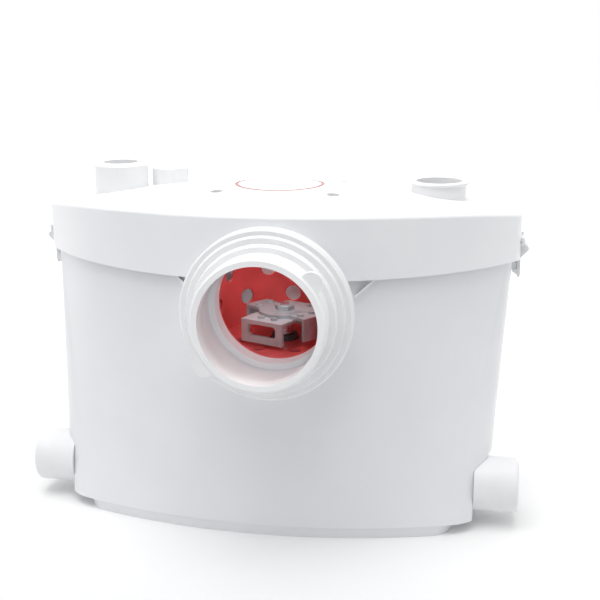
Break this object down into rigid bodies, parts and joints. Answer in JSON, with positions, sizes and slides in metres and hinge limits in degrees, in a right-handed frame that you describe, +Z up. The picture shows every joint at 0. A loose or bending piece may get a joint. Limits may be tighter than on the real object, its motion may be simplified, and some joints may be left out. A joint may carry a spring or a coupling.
{
  "type": "macerator toilet pump",
  "caption": "White macerator pump box with a crowned clip-on lid, front inlet boot, side and top waste inlets, red perforated basket with a cutter, motor, pump and discharge.",
  "frame": {"origin": "middle of the tank's underside on the floor, halfway between the lid's front and back", "axes": "+X to the right as the inlet boot is faced, +Y towards the wall behind, +Z up"},
  "size_m": [0.45, 0.263, 0.3105],
  "materials": {
    "lid_plastic": "white, satin gloss",
    "tank_plastic": "white, satin",
    "badge_plastic": "white, gloss",
    "fitting_plastic": "white, satin",
    "clip_plastic": "white, satin",
    "boot_rubber": "white, matt",
    "sleeve_rubber": "white, matt",
    "seal_rubber": "black, matt",
    "valve_rubber": "dark grey, matt",
    "basket_plastic": "red, satin",
    "cutter_steel": "stainless, brushed",
    "cutter_plate_steel": "stainless, brushed",
    "shaft_steel": "ground",
    "screw_steel": "zinc plated",
    "pin_steel": "drawn wire",
    "bearing_steel": "ground",
    "motor_plastic": "dark grey",
    "lamination_steel": "stacked laminations",
    "winding_copper": "varnished copper wire",
    "pump_plastic": "grey",
    "pipe_rubber": "black, matt",
    "valve_plastic": "off-white",
    "control_plastic": "light grey",
    "capacitor_plastic": "white",
    "terminal_plastic": "cream",
    "switch_plastic": "black",
    "filter_carbon": "black, open foam"
  },
  "bodies": {
    "pump_body": {"lid": "lid_plastic", "badge_disc": "badge_plastic", "tank": "tank_plastic", "inlet_neck": "tank_plastic", "lid_seal": "seal_rubber", "lid_screws": "screw_steel", "top_inlet_cup": "fitting_plastic", "discharge_connector": "fitting_plastic", "vent_cap": "fitting_plastic", "carbon_filter": "filter_carbon", "check_valve_body": "valve_plastic", "check_valve_pin": "pin_steel", "discharge_pipe": "pipe_rubber", "inlet_boot": "boot_rubber", "side_inlet_left": "sleeve_rubber", "side_inlet_right": "sleeve_rubber", "flap_pin_left": "pin_steel", "flap_pin_right": "pin_steel", "clip_pin_left": "pin_steel", "clip_pin_right": "pin_steel", "basket": "basket_plastic", "stator": "lamination_steel", "windings": "winding_copper", "lower_bearing": "bearing_steel", "upper_bearing": "bearing_steel", "lower_shaft_seal": "seal_rubber", "upper_shaft_seal": "seal_rubber", "motor_housing": "motor_plastic", "motor_cover": "motor_plastic", "cover_screws": "screw_steel", "pump_casing": "pump_plastic", "suction_plate": "pump_plastic", "pump_screws": "screw_steel", "vibration_mounts": "seal_rubber", "control_box": "control_plastic", "control_box_cover": "control_plastic", "pressure_bell": "control_plastic", "diaphragm": "valve_rubber", "pressure_switch": "switch_plastic", "capacitor": "capacitor_plastic", "terminal_block": "terminal_plastic", "cable_gland": "switch_plastic"},
    "rotor_group": {"shaft": "shaft_steel", "rotor": "lamination_steel", "impeller": "pump_plastic", "cutter_plate": "cutter_plate_steel", "cutter_bar": "cutter_steel", "cutter_rivets": "cutter_steel", "cutter_nut": "cutter_steel"},
    "clip_left": {"clip_left": "clip_plastic"},
    "clip_right": {"clip_right": "clip_plastic"},
    "flap_left": {"inlet_flap_left": "valve_rubber"},
    "flap_right": {"inlet_flap_right": "valve_rubber"},
    "check_flap": {"check_valve_flap": "valve_rubber"},
    "plunger": {"switch_plunger": "switch_plastic"}
  },
  "joints": [
    {"name": "rotor_spin", "type": "hinge", "parent": "pump_body", "child": "rotor_group", "pos_m": [0.007, 0.01, 0.1], "axis": [0, 0, 1], "continuous": true},
    {"name": "clip_left_turn", "type": "hinge", "parent": "pump_body", "child": "clip_left", "pos_m": [-0.2175, 0.033, 0.248], "axis": [0, 1, 0], "range_deg": [0, 75]},
    {"name": "clip_right_turn", "type": "hinge", "parent": "pump_body", "child": "clip_right", "pos_m": [0.2175, 0.033, 0.248], "axis": [0, -1, 0], "range_deg": [0, 75]},
    {"name": "flap_left_swing", "type": "hinge", "parent": "pump_body", "child": "flap_left", "pos_m": [-0.1786, -0.025, 0.0575], "axis": [0, -1, 0], "range_deg": [0, 60]},
    {"name": "flap_right_swing", "type": "hinge", "parent": "pump_body", "child": "flap_right", "pos_m": [0.1786, -0.025, 0.0575], "axis": [0, 1, 0], "range_deg": [0, 60]},
    {"name": "check_flap_swing", "type": "hinge", "parent": "pump_body", "child": "check_flap", "pos_m": [-0.139, 0.033, 0.2312], "axis": [0, 1, 0], "range_deg": [0, 60]},
    {"name": "plunger_slide", "type": "slide", "parent": "pump_body", "child": "plunger", "axis": [0, 0, 1], "range_m": [0, 0.0025], "stiffness_N_per_m": 300}
  ]
}
